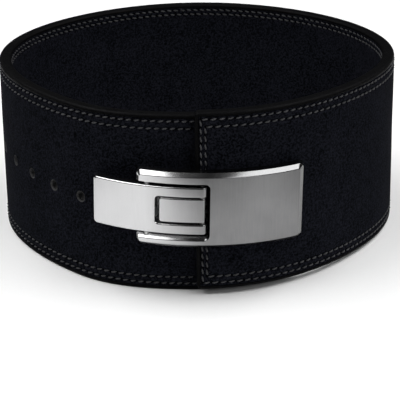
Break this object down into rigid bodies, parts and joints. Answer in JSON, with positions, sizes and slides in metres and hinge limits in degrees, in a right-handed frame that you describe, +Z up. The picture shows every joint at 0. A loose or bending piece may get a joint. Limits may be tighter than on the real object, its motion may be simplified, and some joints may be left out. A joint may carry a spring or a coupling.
{
  "type": "weightlifting belt",
  "caption": "Wide stitched leather and suede belt, closed in a ring by a metal lever whose hooks hold the overlapping flap.",
  "frame": {"origin": "on the surface that the belt stands on, under the middle of its box", "axes": "+Z up, the belt standing on its lower edge; -Y towards the lever at the front; +X to the right of someone who looks at the lever"},
  "size_m": [0.2304, 0.2406, 0.1036],
  "materials": {
    "dyed_leather": "dyed and painted edge, slightly glossy",
    "black_suede": "brushed suede, matte",
    "polished_metal": "polished and plated",
    "plain_steel": "plain plated steel"
  },
  "bodies": {
    "belt": {"strap_core": "dyed_leather", "outer_suede": "black_suede", "inner_suede": "black_suede", "base_plate": "polished_metal", "handle_pin": "plain_steel", "lever_screw_1": "plain_steel", "lever_screw_2": "plain_steel", "lever_post_1": "plain_steel", "lever_post_2": "plain_steel"},
    "lever_handle": {"handle": "polished_metal", "hook_pin": "plain_steel"},
    "lever_hooks": {"hook_plate": "polished_metal"}
  },
  "joints": [
    {"name": "handle_pivot", "type": "hinge", "parent": "belt", "child": "lever_handle", "pos_m": [0.00206, -0.11764, 0.05195], "axis": [0.0262, 0, 0.9997], "range_deg": [0, 160]},
    {"name": "hook_pivot", "type": "hinge", "parent": "lever_handle", "child": "lever_hooks", "pos_m": [-0.02713, -0.11379, 0.05271], "axis": [0.0262, 0, 0.9997], "range_deg": [-160, 0]}
  ],
  "couplings": [
    {"joint": "hook_pivot", "follows": "handle_pivot", "ratio": -1}
  ]
}
